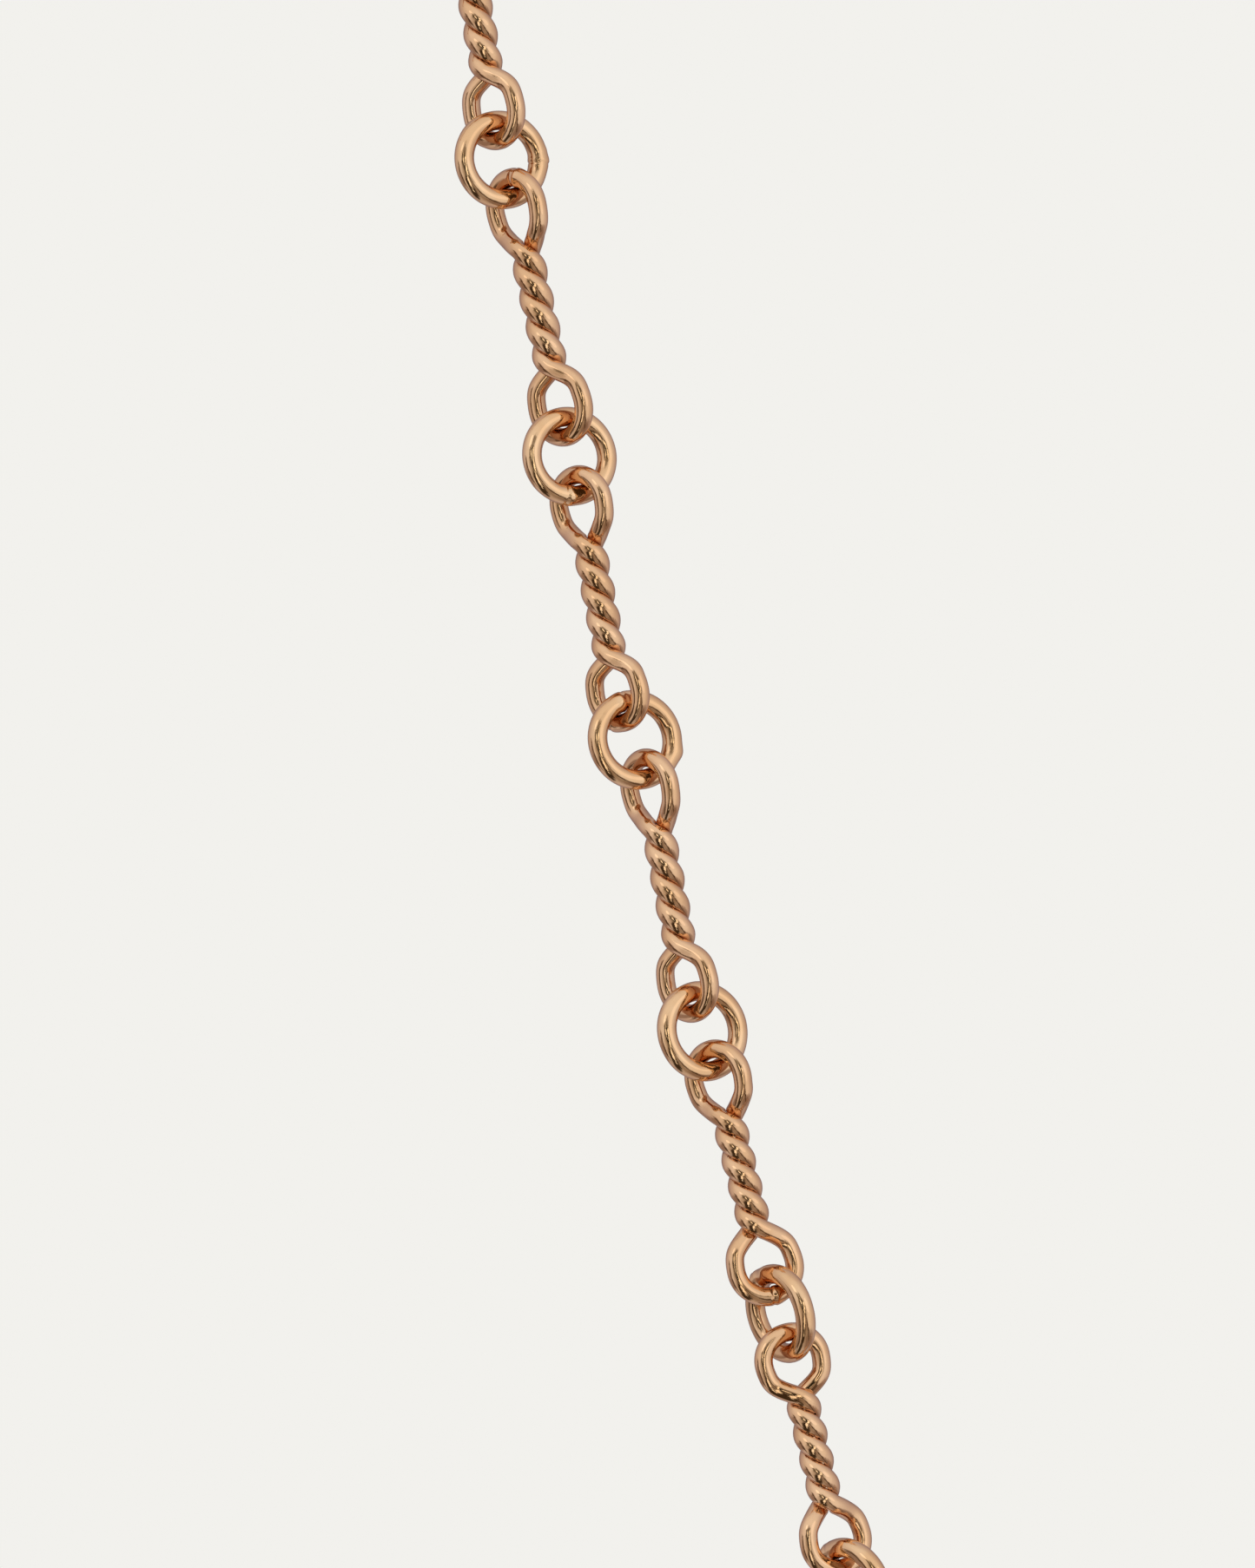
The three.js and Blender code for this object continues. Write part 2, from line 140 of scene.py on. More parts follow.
def node_points(name):
    """The CAD node's own corners, each once, in millimetres."""
    points = np.array([v.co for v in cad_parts[name].data.vertices], float) / MM
    return np.unique(np.round(points, 4), axis=0)


def unit(v):
    return v / np.linalg.norm(v)


def box_mm(name):
    low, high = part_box(name)
    return np.array(low) / MM, np.array(high) / MM


# --- Meshes -------------------------------------------------------------------------------------


def piece(name, vertices, faces, attributes=None):
    """A smooth-shaded mesh object from millimetre vertices, with named values per vertex."""
    mesh = bpy.data.meshes.new(name)
    mesh.from_pydata((np.asarray(vertices) * MM).tolist(), [], faces)
    for key, values in (attributes or {}).items():
        layer = mesh.attributes.new(key, "FLOAT", "POINT")
        layer.data.foreach_set("value", np.asarray(values, np.float32).ravel())
    mesh.shade_smooth()
    mesh.update()
    obj = bpy.data.objects.new(name, mesh)
    bpy.context.scene.collection.objects.link(obj)
    return obj


def grid_faces(steps, sides):
    """Quads of a tube that is closed along its length as well as round it."""
    i, j = np.meshgrid(np.arange(steps), np.arange(sides), indexing="ij")
    i2, j2 = (i + 1) % steps, (j + 1) % sides
    quads = np.stack(
        [i * sides + j, i * sides + j2, i2 * sides + j2, i2 * sides + j], axis=-1
    )
    return quads.reshape(-1, 4).tolist()


def closed_frames(points, across):
    """Tangent and two normals at each point of a closed path, carried along without twisting."""
    ahead = np.roll(points, -1, axis=0) - np.roll(points, 1, axis=0)
    ahead /= np.linalg.norm(ahead, axis=1)[:, None]
    first = unit(across - (across @ ahead[0]) * ahead[0])
    normals = [first]
    for t in ahead[1:]:
        n = normals[-1] - (normals[-1] @ t) * t
        normals.append(unit(n))
    normals = np.array(normals)
    sides = np.cross(ahead, normals)
    last = normals[-1] - (normals[-1] @ ahead[0]) * ahead[0]
    slip = math.atan2(unit(last) @ sides[0], unit(last) @ normals[0])
    turn = -slip * np.arange(len(points)) / len(points)
    c, s = np.cos(turn)[:, None], np.sin(turn)[:, None]
    return ahead, normals * c + sides * s, sides * c - normals * s


def field(points, scale, seed):
    """Smooth noise of about -1 to 1 at each point, with features of that size in millimetres."""
    shift = Vector((seed * 7.31, seed * 3.17, seed * 5.73))
    return np.array([noise.noise(Vector(p) / scale + shift) for p in points])


def wire_loop(path, radius, seed, across, shape):
    """A closed loop of hand-drawn wire: a little uneven in section, with shallow dents."""
    steps = len(path)
    _, n1, n2 = closed_frames(path, across)
    angle = np.linspace(0, 2 * math.pi, WIRE_SIDES, endpoint=False)
    out = (
        n1[:, None, :] * np.cos(angle)[None, :, None]
        + n2[:, None, :] * np.sin(angle)[None, :, None]
    )
    flat = out.reshape(-1, 3)
    base = np.repeat(path, WIRE_SIDES, axis=0)
    radius = np.repeat(np.broadcast_to(radius, steps), WIRE_SIDES)
    surface = base + flat * radius[:, None]
    grow = UNEVEN * field(surface, UNEVEN_SIZE, seed)
    grow = grow + RIPPLE * field(surface, RIPPLE_SIZE, seed + 40)
    grow = grow + shape(surface, np.repeat(np.arange(steps), WIRE_SIDES))
    surface = base + flat * (radius + grow)[:, None]
    return surface, flat, grid_faces(steps, WIRE_SIDES)


# --- Rings --------------------------------------------------------------------------------------

def seam(steps_from, depth, width):
    """A fine groove round the wire, with the metal a little proud on either side of it."""
    groove = -depth * np.exp(-((steps_from / width) ** 2))
    bulge = 0.6 * depth * np.exp(-((steps_from / (4 * width)) ** 2))
    overlap = 0.9 * depth * ramp(steps_from, 0, width) * ramp(-steps_from, -9 * width, -3 * width)
    return groove + bulge + overlap


def lumps(surface, places):
    """Beads of solder: (place, height, reach) in millimetres."""
    total = np.zeros(len(surface))
    for place, height, reach in places:
        d = np.linalg.norm(surface - place, axis=1)
        total += height * np.exp(-((d / reach) ** 2))
    return total


def dents(points, centres, depth, reach):
    """Shallow dents about the given points."""
    total = np.zeros(len(points))
    for centre in centres:
        d = np.linalg.norm(points - centre, axis=1)
        total -= depth * np.exp(-((d / reach) ** 2))
    return total


def ring_piece(name, index):
    """A jump ring where the CAD one lies, with its seam, nicks and beads of solder, and painted shade
    on its inner side.
    """
    points = node_points(name)
    centre = points.mean(axis=0)
    _, axes = np.linalg.eigh(np.cov((points - centre).T))
    normal = axes[:, 0] * (1 if axes[2, 0] > 0 else -1)
    # The ring's first direction lies along the chain's own run, so that the seam can be placed.
    along = unit(np.cross(normal, np.cross(RUN, normal)))
    lateral = np.cross(normal, along)
    turn = np.linspace(0, 2 * math.pi, RING_STEPS, endpoint=False)
    path = centre + RING_RADIUS * (
        np.outer(np.cos(turn), along) + np.outer(np.sin(turn), lateral)
    )

    def unit_at(angle):
        return math.cos(angle) * along + math.sin(angle) * lateral

    wobble = OUT_OF_TRUE * np.sin(2 * turn + index * 1.7)
    path += np.outer(wobble, normal)
    path += (path - centre) / RING_RADIUS * (OUT_OF_TRUE * np.cos(2 * turn + index))[:, None]
    seam_at = RING_SEAMS[index % len(RING_SEAMS)]
    rng = np.random.default_rng(100 + index)
    nicks = path[rng.integers(0, RING_STEPS, RING_NICKS)]
    nicks = nicks + rng.normal(0, 1, (RING_NICKS, 3)) * NICK_SPREAD

    def shape(surface, step):
        arc = (turn[step] - math.radians(seam_at) + math.pi) % (2 * math.pi) - math.pi
        beads = [
            (centre + BEAD_RADIUS * unit_at(math.radians(at)) + lift * normal, high, wide)
            for at, lift, high, wide in RING_BEADS.get(name, [])
        ]
        return (
            seam(arc * RING_RADIUS, *RING_SEAM)
            + dents(surface, nicks, *RING_NICK)
            + lumps(surface, beads)
        )

    surface, out, faces = wire_loop(path, RING_WIRE, index + 1, normal, shape)
    # Painted shade: the side of the wire that faces the ring's centre is darkened.
    outward = np.repeat(unit_rows(path - centre), WIRE_SIDES, axis=0)
    inward = -np.einsum("ij,ij->i", out, outward)
    crevice_shade = WIRE_INNER_SHADE * ramp(inward, 0.1, 1.0)
    return piece(name + "_wire", surface, faces, {"crevice_shade": crevice_shade})


def unit_rows(v):
    return v / np.linalg.norm(v, axis=1)[:, None]


def ramp(x, low, high):
    """0 below low, 1 above high, and a smooth rise between them."""
    t = np.clip((x - low) / (high - low), 0, 1)
    return t * t * (3 - 2 * t)


# --- Links --------------------------------------------------------------------------------------

def quarter_path():
    """The wire's centreline from the middle of the rope to the end of an eye, evenly spaced."""
    pitch = math.pi / HALF_LAY
    z = np.linspace(0, ROPE_END, 400, endpoint=False)
    rope = np.stack([ROPE_RADIUS * np.sin(pitch * z), ROPE_RADIUS * np.cos(pitch * z), z], 1)
    flare_angle = math.asin(EYE_RADIUS / (EYE_CENTRE - ROPE_END))
    flare_length = (EYE_CENTRE - ROPE_END) * math.cos(flare_angle)
    along = np.linspace(0, flare_length, 200, endpoint=False)
    flare = np.stack(
        [
            along * math.sin(flare_angle),
            ROPE_RADIUS * (1 + np.cos(math.pi * along / flare_length)) / 2,
            ROPE_END + along * math.cos(flare_angle),
        ],
        1,
    )
    turn = np.linspace(-flare_angle, math.pi / 2, 300)
    arc = np.stack(
        [EYE_RADIUS * np.cos(turn), 0 * turn, EYE_CENTRE + EYE_RADIUS * np.sin(turn)], 1
    )
    path = np.concatenate([rope, flare, arc])
    along = np.clip((path[:, 2] - FULLNESS_START) / (FULLNESS_END - FULLNESS_START), 0, 1)
    path[:, 0] += EYE_FULLNESS * np.sin(math.pi * along) ** 2
    return path


def resample(path, count, closed=False):
    """Evenly spaced points along a path."""
    if closed:
        path = np.concatenate([path, path[:1]])
    reach = np.concatenate([[0], np.cumsum(np.linalg.norm(np.diff(path, axis=0), axis=1))])
    at = np.linspace(0, reach[-1], count, endpoint=not closed)
    return np.stack([np.interp(at, reach, path[:, k]) for k in range(3)], axis=1)


def link_path(stretch, untwist):
    """The whole closed loop in the link's own axes: lateral, face, ahead."""
    quarter = resample(quarter_path(), 600)
    out = quarter[:-1]
    back = quarter[:0:-1]
    loop = np.concatenate(
        [out, back * [-1, -1, 1], out * [1, -1, -1], back * [-1, 1, -1]]
    )
    share = np.clip(loop[:, 2] / ROPE_END, -1, 1) / 2 * untwist
    loop[:, 2] *= stretch
    c, s = np.cos(share), np.sin(share)
    x, y = loop[:, 0] * c - loop[:, 1] * s, loop[:, 0] * s + loop[:, 1] * c
    loop = np.stack([x, y, loop[:, 2]], 1)
    for _ in range(SOFTEN):  # wire bends in a curve, not at a point
        loop = (np.roll(loop, 6, axis=0) + 2 * loop + np.roll(loop, -6, axis=0)) / 4
    return resample(loop, 4 * QUARTER_STEPS, closed=True)


def eye_lateral(local, end):
    """The direction across an eye, seen along the link."""
    near = local[np.sign(end) * local[:, 2] > EYE_CENTRE - 0.9][:, :2]
    _, axes = np.linalg.eigh(np.cov(near.T))
    return axes[:, 1]


def link_piece(name, index):
    """A twisted link where the CAD one lies, with its own length and twist."""
    points = node_points(name)
    centre = points.mean(axis=0)
    _, axes = np.linalg.eigh(np.cov((points - centre).T))
    ahead = axes[:, 2] * (1 if axes[:, 2] @ RUN > 0 else -1)
    side = unit(np.cross([0, 0, 1.0], ahead))
    basis = np.stack([side, np.cross(ahead, side), ahead])
    local = (points - centre) @ basis.T
    first, last = eye_lateral(local, -1), eye_lateral(local, 1)
    if first @ last < 0:
        last = -last
    middle = unit(first + last)
    untwist = math.asin(np.clip(first[0] * last[1] - first[1] * last[0], -1, 1))
    lateral = middle[0] * basis[0] + middle[1] * basis[1]
    axes = np.stack([lateral, np.cross(ahead, lateral), ahead])
    half = (local[:, 2].max() - local[:, 2].min()) / 2
    stretch = (half - LINK_WIRE_CAD) / (EYE_CENTRE + EYE_RADIUS)
    path = link_path(stretch, untwist)
    steps = len(path)
    rng = np.random.default_rng(10 + index)
    wander = np.stack([field(path, WANDER_SIZE, index * 3 + k) for k in range(3)], 1)
    in_eye = ramp(np.abs(path[:, 2]), ROPE_END - 0.6, ROPE_END + 1.4)
    path = path + WANDER * wander * in_eye[:, None]
    nicks = path[rng.integers(0, steps, LINK_NICKS)]
    nicks = nicks + rng.normal(0, 1, (LINK_NICKS, 3)) * NICK_SPREAD
    ends = [int(np.argmax(path[:, 2])), int(np.argmin(path[:, 2]))]
    seam_end = ends[index % 2] + LINK_SEAMS[index % len(LINK_SEAMS)]
    step_length = np.linalg.norm(path[1] - path[0])

    def shape(surface, step):
        apart = (step - seam_end + steps / 2) % steps - steps / 2
        return seam(apart * step_length, *LINK_SEAM) + dents(surface, nicks, *LINK_NICK)

    rope_share = 1 - ramp(np.abs(path[:, 2]), ROPE_END - 0.5, ROPE_END + 1.0)
    radius = LINK_WIRE + (STRAND_WIRE - LINK_WIRE) * rope_share
    surface, out, faces = wire_loop(path, radius, index + 20, np.array([0, 1.0, 0]), shape)
    surface = press_together(surface, path)
    # Painted shade: the grooves between the rope's strands and the inner sides of the eyes are
    # darkened. The groove shade is eased along the body of the rope.
    radial = surface.copy()
    radial[:, 2] = 0
    radial = unit_rows(radial + 1e-9)
    inward = -np.einsum("ij,ij->i", out, radial)
    in_rope = 1 - ramp(np.abs(surface[:, 2]), ROPE_END - 0.5, ROPE_END + 0.5)
    from_axis = np.linalg.norm(surface[:, :2], axis=1)
    groove = np.maximum(ramp(-from_axis, -0.98, -0.72), ramp(inward, -0.45, 0.1))
    crossing = ramp(-np.abs(surface[:, 2]), -ROPE_END - 1.3, -ROPE_END + 0.2)
    groove = groove * (1 - 0.45 * crossing)
    crevice_shade = in_rope * groove + (1 - in_rope) * WIRE_INNER_SHADE * ramp(inward, 0.1, 1)
    return piece(name + "_wire", centre + surface @ axes, faces, {"crevice_shade": crevice_shade})


def press_together(surface, path):
    """Flattens each strand where it would pass into the other one."""
    quarter = len(path) // 4
    strand = np.concatenate([path[-quarter:], path[:quarter]])  # one strand, end to end
    z = surface[:, 2]
    toward = np.stack([np.interp(z, strand[:, 2], strand[:, k]) for k in (0, 1)], axis=1)
    toward = unit_rows(toward)
    step = np.repeat(np.arange(len(path)), WIRE_SIDES)
    toward *= np.where((step < quarter) | (step >= 3 * quarter), 1, -1)[:, None]
    reach = np.einsum("ij,ij->i", surface[:, :2], toward)
    push = np.where(np.abs(z) < EYE_CENTRE - 1.2, np.maximum(STRANDS_APART - reach, 0), 0)
    pressed = surface.copy()
    pressed[:, :2] += toward * push[:, None]
    from_axis = np.linalg.norm(pressed[:, :2], axis=1)
    facing = np.einsum("ij,ij->i", pressed[:, :2], toward) / np.maximum(from_axis, 1e-6)
    full = GROOVE_DEPTH[0] + GROOVE_DEPTH[1] * np.maximum(facing, 0) ** 0.75
    share = (1 - ramp(np.abs(z), ROPE_END - 0.7, ROPE_END + 0.1)) * ramp(from_axis, 0.3, 0.5)
    grow = share * np.maximum(full - from_axis, 0) / np.maximum(from_axis, 1e-6)
    pressed[:, :2] *= 1 + grow[:, None]
    return pressed


# --- Materials ----------------------------------------------------------------------------------


class Tree:
    """Short ways to add nodes to a material's or the world's tree."""

    def __init__(self, tree):
        self.nodes, self.links = tree.nodes, tree.links
        self.nodes.clear()

    def add(self, kind, inputs=None, **settings):
        node = self.nodes.new(kind)
        for key, value in settings.items():
            setattr(node, key, value)
        for key, value in (inputs or {}).items():
            if isinstance(value, bpy.types.NodeSocket):
                self.links.new(value, node.inputs[key])
            else:
                node.inputs[key].default_value = value
        return node

    def math(self, operation, a, b=0.0, clamp=False):
        return self.add(
            "ShaderNodeMath", {0: a, 1: b}, operation=operation, use_clamp=clamp
        ).outputs[0]

    def scale(self, value, low, high, to_low, to_high):
        inputs = {"Value": value, 1: low, 2: high, 3: to_low, 4: to_high}
        return self.add("ShaderNodeMapRange", inputs, interpolation_type="SMOOTHSTEP").outputs[0]

    def mix(self, factor, a, b, blend="MIX"):
        node = self.add("ShaderNodeMix", data_type="RGBA", blend_type=blend)
        for socket, value in ((node.inputs[0], factor), (node.inputs[6], a), (node.inputs[7], b)):
            if isinstance(value, bpy.types.NodeSocket):
                self.links.new(value, socket)
            elif isinstance(value, (int, float)):
                socket.default_value = value
            else:
                socket.default_value = (*value, 1)
        return node.outputs[2]

    def noise(self, where, size, detail=2.0, roughness=0.5, distortion=0.0):
        """Noise with features of that size in millimetres."""
        inputs = {
            "Vector": where,
            "Scale": 1 / (size * MM),
            "Detail": detail,
            "Roughness": roughness,
            "Distortion": distortion,
        }
        return self.add("ShaderNodeTexNoise", inputs).outputs["Fac"]


def metal(name, light, deep, groove, roughness, bump=0.06):
    """Polished metal: two tones that drift into each other, plus painted shade in the groove tone
    where the vertex mask marks grooves, inner sides and hollows.
    """
    material = bpy.data.materials.new(name)
    material.use_nodes = True
    t = Tree(material.node_tree)
    where = t.add("ShaderNodeTexCoord").outputs["Object"]
    drift = t.noise(where, 2.4, 3.0)
    colour = t.mix(t.scale(drift, 0.35, 0.65, 0, 1), light, deep)
    # Painted shade: the vertex mask, broken up a little by noise, pulls the colour towards the groove
    # tone and makes it a little rougher.
    crevice_shade = t.add("ShaderNodeAttribute", attribute_name="crevice_shade").outputs["Fac"]
    speckle = t.noise(where, 0.35, 4.0, 0.6)
    painted_shade = t.math("MULTIPLY", crevice_shade, t.scale(speckle, 0.25, 0.7, 0.75, 1.0))
    colour = t.mix(painted_shade, colour, groove)
    smear = t.noise(where, 0.9, 4.0, 0.65, 0.6)
    gloss = t.scale(smear, 0.3, 0.75, roughness * 0.75, roughness * 1.5)
    gloss = t.math("ADD", gloss, t.math("MULTIPLY", painted_shade, 0.12))
    stretch = t.add("ShaderNodeMapping", {"Vector": where, "Scale": (1.0, 0.25, 1.0)}).outputs[0]
    scratches = t.noise(stretch, 0.05, 3.0, 0.7)
    waves = t.noise(where, 0.45, 2.0)
    height = t.math("ADD", t.math("MULTIPLY", scratches, 0.12), waves)
    normal = t.add(
        "ShaderNodeBump", {"Strength": bump, "Distance": 0.0001, "Height": height}
    ).outputs[0]
    inputs = {"Base Color": colour, "Metallic": 1.0, "Roughness": gloss, "Normal": normal}
    shader = t.add("ShaderNodeBsdfPrincipled", inputs)
    t.links.new(
        shader.outputs[0], t.add("ShaderNodeOutputMaterial").inputs["Surface"]
    )
    return material


# The third tone of each metal is the colour of the painted shade in its grooves, inner sides and
# hollows.
ROSE_LINK = metal(
    "rose_gold_links", (0.86, 0.56, 0.35), (0.80, 0.49, 0.28), (0.33, 0.135, 0.09), 0.06
)
ROSE_RING = metal(
    "rose_gold_rings", (0.87, 0.58, 0.355), (0.82, 0.51, 0.285), (0.42, 0.19, 0.10), 0.055
)
ROSE_FITTING = metal(
    "rose_gold_fittings", (0.84, 0.53, 0.33), (0.78, 0.46, 0.27), (0.58, 0.26, 0.11), 0.15
)
SPRING_STEEL = metal(
    "spring_steel", (0.55, 0.53, 0.50), (0.47, 0.45, 0.42), (0.3, 0.27, 0.24), 0.3
)


def dress(obj, material, body, slot, *nodes):
    """Gives a piece its material, the body that it rides and the CAD nodes that it stands for."""
    obj.data.materials.append(material)
    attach(obj, body)
    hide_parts(*nodes)
    return obj


# --- End fittings -------------------------------------------------------------------------------

def rounded(profile, step=0.04, passes=10):
    """A turned profile of (radius, station) points with its corners worn round."""
    line = np.array([[r, x, 0.0] for r, x in profile])
    count = int(np.linalg.norm(np.diff(line, axis=0), axis=1).sum() / step)
    line = resample(line, count)[:, :2]
    for _ in range(passes):
        line[1:-1] = (line[:-2] + 2 * line[1:-1] + line[2:]) / 4
    return line


def lathe(line, along, centre):
    """Vertices and faces of a profile turned about an axis through a point."""
    along = np.array(along, float)
    across = unit(np.cross(along, [0.3, 0.5, 0.9]))
    other = np.cross(along, across)
    turn = np.linspace(0, 2 * math.pi, LATHE_SIDES, endpoint=False)
    spoke = np.outer(np.cos(turn), across) + np.outer(np.sin(turn), other)
    rows = [np.maximum(r, 0.002) * spoke + along * x for r, x in line]
    n = len(line)
    faces = [
        [k * LATHE_SIDES + i, k * LATHE_SIDES + (i + 1) % LATHE_SIDES,
         (k + 1) * LATHE_SIDES + (i + 1) % LATHE_SIDES, (k + 1) * LATHE_SIDES + i]
        for k in range(n - 1)
        for i in range(LATHE_SIDES)
    ]
    faces.append(list(range(LATHE_SIDES))[::-1])
    faces.append([(n - 1) * LATHE_SIDES + i for i in range(LATHE_SIDES)])
    return np.concatenate(rows) + centre, faces


def round_loop(radius, wire, normal, centre, steps=120, sides=28):
    """Vertices and faces of a round loop of wire."""
    normal = unit(np.array(normal, float))
    across = unit(np.cross(normal, [0.31, 0.52, 0.21]))
    other = np.cross(normal, across)
    turn = np.linspace(0, 2 * math.pi, steps, endpoint=False)
    spoke = np.outer(np.cos(turn), across) + np.outer(np.sin(turn), other)
    angle = np.linspace(0, 2 * math.pi, sides, endpoint=False)
    rows = spoke[:, None, :] * (radius + wire * np.cos(angle))[None, :, None]
    rows = rows + normal * (wire * np.sin(angle))[None, :, None]
    return rows.reshape(-1, 3) + centre, grid_faces(steps, sides)


def fused(name, shapes, voxel, passes):
    """Several closed shapes made one skin, with the joins between them softened as if soldered."""
    vertices, faces = [], []
    for points, quads in shapes:
        start = sum(len(v) for v in vertices)
        vertices.append(points)
        faces += [[start + i for i in quad] for quad in quads]
    rough = piece(name + "_rough", np.concatenate(vertices), faces)
    remesh = rough.modifiers.new("skin", "REMESH")
    remesh.mode, remesh.voxel_size = "VOXEL", voxel * MM
    soften = rough.modifiers.new("soften", "SMOOTH")
    soften.factor, soften.iterations = 0.5, passes
    graph = bpy.context.evaluated_depsgraph_get()
    mesh = bpy.data.meshes.new_from_object(rough.evaluated_get(graph))
    bpy.data.objects.remove(rough)
    mesh.shade_smooth()
    mesh.name = name
    obj = bpy.data.objects.new(name, mesh)
    bpy.context.scene.collection.objects.link(obj)
    paint_hollow_shade(mesh, voxel)
    return obj


def paint_hollow_shade(mesh, voxel):
    """Writes how hollow the surface is at each vertex, as the mask for painted shade in its hollows.
    """
    count = len(mesh.vertices)
    place, normal = np.zeros(count * 3), np.zeros(count * 3)
    mesh.vertices.foreach_get("co", place)
    mesh.vertices.foreach_get("normal", normal)
    place, normal = place.reshape(-1, 3) / MM, normal.reshape(-1, 3)
    ends = np.zeros(len(mesh.edges) * 2, int)
    mesh.edges.foreach_get("vertices", ends)
    a, b = ends.reshape(-1, 2).T
    links = np.bincount(a, minlength=count) + np.bincount(b, minlength=count)
    around = place.copy()
    for _ in range(6):
        total = np.stack(
            [
                np.bincount(a, around[b, k], count) + np.bincount(b, around[a, k], count)
                for k in range(3)
            ],
            1,
        )
        around = total / np.maximum(links, 1)[:, None]
    hollow = np.einsum("ij,ij->i", around - place, normal)
    layer = mesh.attributes.new("crevice_shade", "FLOAT", "POINT")
    layer.data.foreach_set("value", ramp(hollow, 0.1 * voxel, 1.2 * voxel).astype(np.float32))


def cad_shape(node):
    """A CAD node's own mesh, with its corners joined."""
    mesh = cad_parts[node].data
    points = np.array([v.co for v in mesh.vertices], float) / MM
    corners, index = np.unique(np.round(points, 4), axis=0, return_inverse=True)
    index = index.ravel()
    faces = [[int(index[i]) for i in p.vertices] for p in mesh.polygons]
    return corners, [f for f in faces if len(set(f)) == len(f)]


def bar_shape():
    """The bar's turned profile, from knob to knob, round the middle of its CAD box."""
    low, high = box_mm("t_bar")
    half = (high - low)[1] / 2
    radius = (high - low)[0] / 2
    knob = half - BAR_KNOB_LENGTH
    upper = [
        (BAR_WAIST, 0.0),
        (BAR_WAIST, BAR_WAIST_HALF),
        (BAR_RADIUS, 1.1),
        (BAR_RADIUS, knob - 0.75),
        (BAR_NECK, knob - 0.55),
        (BAR_NECK, knob - 0.35),
        (BAR_RADIUS, knob - 0.15),
    ]
    for t in np.linspace(-0.93, 1, 24):  # the knob is a ball pressed a little flat
        bulge = (1 - abs(t) ** KNOB_SQUARENESS) ** (1 / KNOB_SQUARENESS)
        upper.append((radius * bulge, (knob + half) / 2 + t * (half - knob) / 2))
    profile = [(r, -y) for r, y in upper[:0:-1]] + upper
    return lathe(rounded(profile), (0, 1, 0), (low + high) / 2)


def turned_piece(name, shape):
    """A lathe-turned piece, polished all over, with no painted shade."""
    points, faces = shape
    return piece(name, points, faces, {"crevice_shade": np.zeros(len(points))})


def bar_piece():
    dress(turned_piece("t_bar_turned", bar_shape()), ROSE_FITTING, "t_bar", "fitting", "t_bar")


def bail_piece():
    low, high = box_mm("t_bar")
    centre = (low + high) / 2
    collar = round_loop(BAIL_COLLAR_RADIUS, BAIL_WIRE, (0, 1, 0), centre)
    eye = round_loop(BAIL_EYE_RADIUS, BAIL_WIRE, (0, 1, 0), centre + [BAIL_EYE_OFFSET, 0, 0])
    bail = fused("t_bar_bail_wire", [collar, eye], *WIRE_SKIN)
    dress(bail, ROSE_FITTING, "t_bar_bail", "fitting", "t_bar_bail")


def bow_piece():
    low, high = box_mm("swivel_hook")
    centre = np.array([high[0] - HOOK_RADIUS, high[1] - HOOK_RADIUS, (low[2] + high[2]) / 2])
    normal = (0, -math.sin(BOW_TILT), math.cos(BOW_TILT))
    loop = round_loop(BOW_RADIUS, BOW_WIRE, normal, centre + [-BOW_OFFSET, 0, 0])
    stem = lathe(rounded(STEM), (1, 0, 0), centre)
    bow = fused("swivel_bow_wire", [loop, stem], *WIRE_SKIN)
    dress(bow, ROSE_FITTING, "swivel_bow", "fitting", "swivel_bow")


def clip_pieces():
    hook = fused("swivel_hook_cast", [cad_shape("swivel_hook")], *HOOK_SKIN)
    dress(hook, ROSE_FITTING, "swivel_hook", "fitting", "swivel_hook")
    gate = fused("swivel_gate_cast", [cad_shape("swivel_gate")], *GATE_SKIN)
    dress(gate, ROSE_FITTING, "swivel_gate", "fitting", "swivel_gate")


def pin_piece():
    low, high = box_mm("gate_pin")
    middle, half = (low + high) / 2, (high - low)[2] / 2
    profile = [
        (0.0, -half),
        (PIN_END_RADIUS, -half),
        (PIN_RADIUS, -half + PIN_CHAMFER),
        (PIN_RADIUS, half - PIN_CHAMFER),
        (PIN_END_RADIUS, half),
        (0, half),
    ]
    pin = turned_piece("gate_pin_turned", lathe(rounded(profile, 0.02, 4), (0, 0, 1), middle))
    dress(pin, ROSE_FITTING, "swivel_hook", "fitting", "gate_pin")


def spring_piece():
    spring = fused("gate_spring_leaf", [cad_shape("gate_spring")], *SPRING_SKIN)
    dress(spring, SPRING_STEEL, "swivel_hook", "spring_steel", "gate_spring")


for number, link in enumerate(LINKS):
    dress(link_piece(link, number), ROSE_LINK, link, "link_wire", link)
for number, ring in enumerate(RINGS):
    dress(ring_piece(ring, number), ROSE_RING, ring, "ring_wire", ring)
bar_piece()
bail_piece()
bow_piece()
clip_pieces()
pin_piece()
spring_piece()


# --- Studio -------------------------------------------------------------------------------------

def sweep_piece():
    """A wide pale floor that curves up into a backdrop. Only the camera sees it: the chain
    mirrors the tent round it instead."""
    n = SWEEP_SIDES
    turn = np.linspace(0, 2 * math.pi, n, endpoint=False)
    rows = [
        np.stack([np.cos(turn) * r, np.sin(turn) * r, 0 * turn + h - FLOOR_DEPTH], 1)
        for r, h in SWEEP_PROFILE
    ]
    faces = [
        [k * n + i, k * n + (i + 1) % n, (k + 1) * n + (i + 1) % n, (k + 1) * n + i]
        for k in range(len(SWEEP_PROFILE) - 1)
        for i in range(n)
    ]
    obj = piece("sweep", np.concatenate(rows), faces)
    material = bpy.data.materials.new("pale_paper")
    material.use_nodes = True
    t = Tree(material.node_tree)
    glow = t.add("ShaderNodeEmission", {"Color": (*PALE, 1), "Strength": 1.0})
    t.links.new(glow.outputs[0], t.add("ShaderNodeOutputMaterial").inputs["Surface"])
    obj.data.materials.append(material)
    obj.visible_glossy = False
    obj.visible_diffuse = False
    obj.visible_shadow = False
    return obj


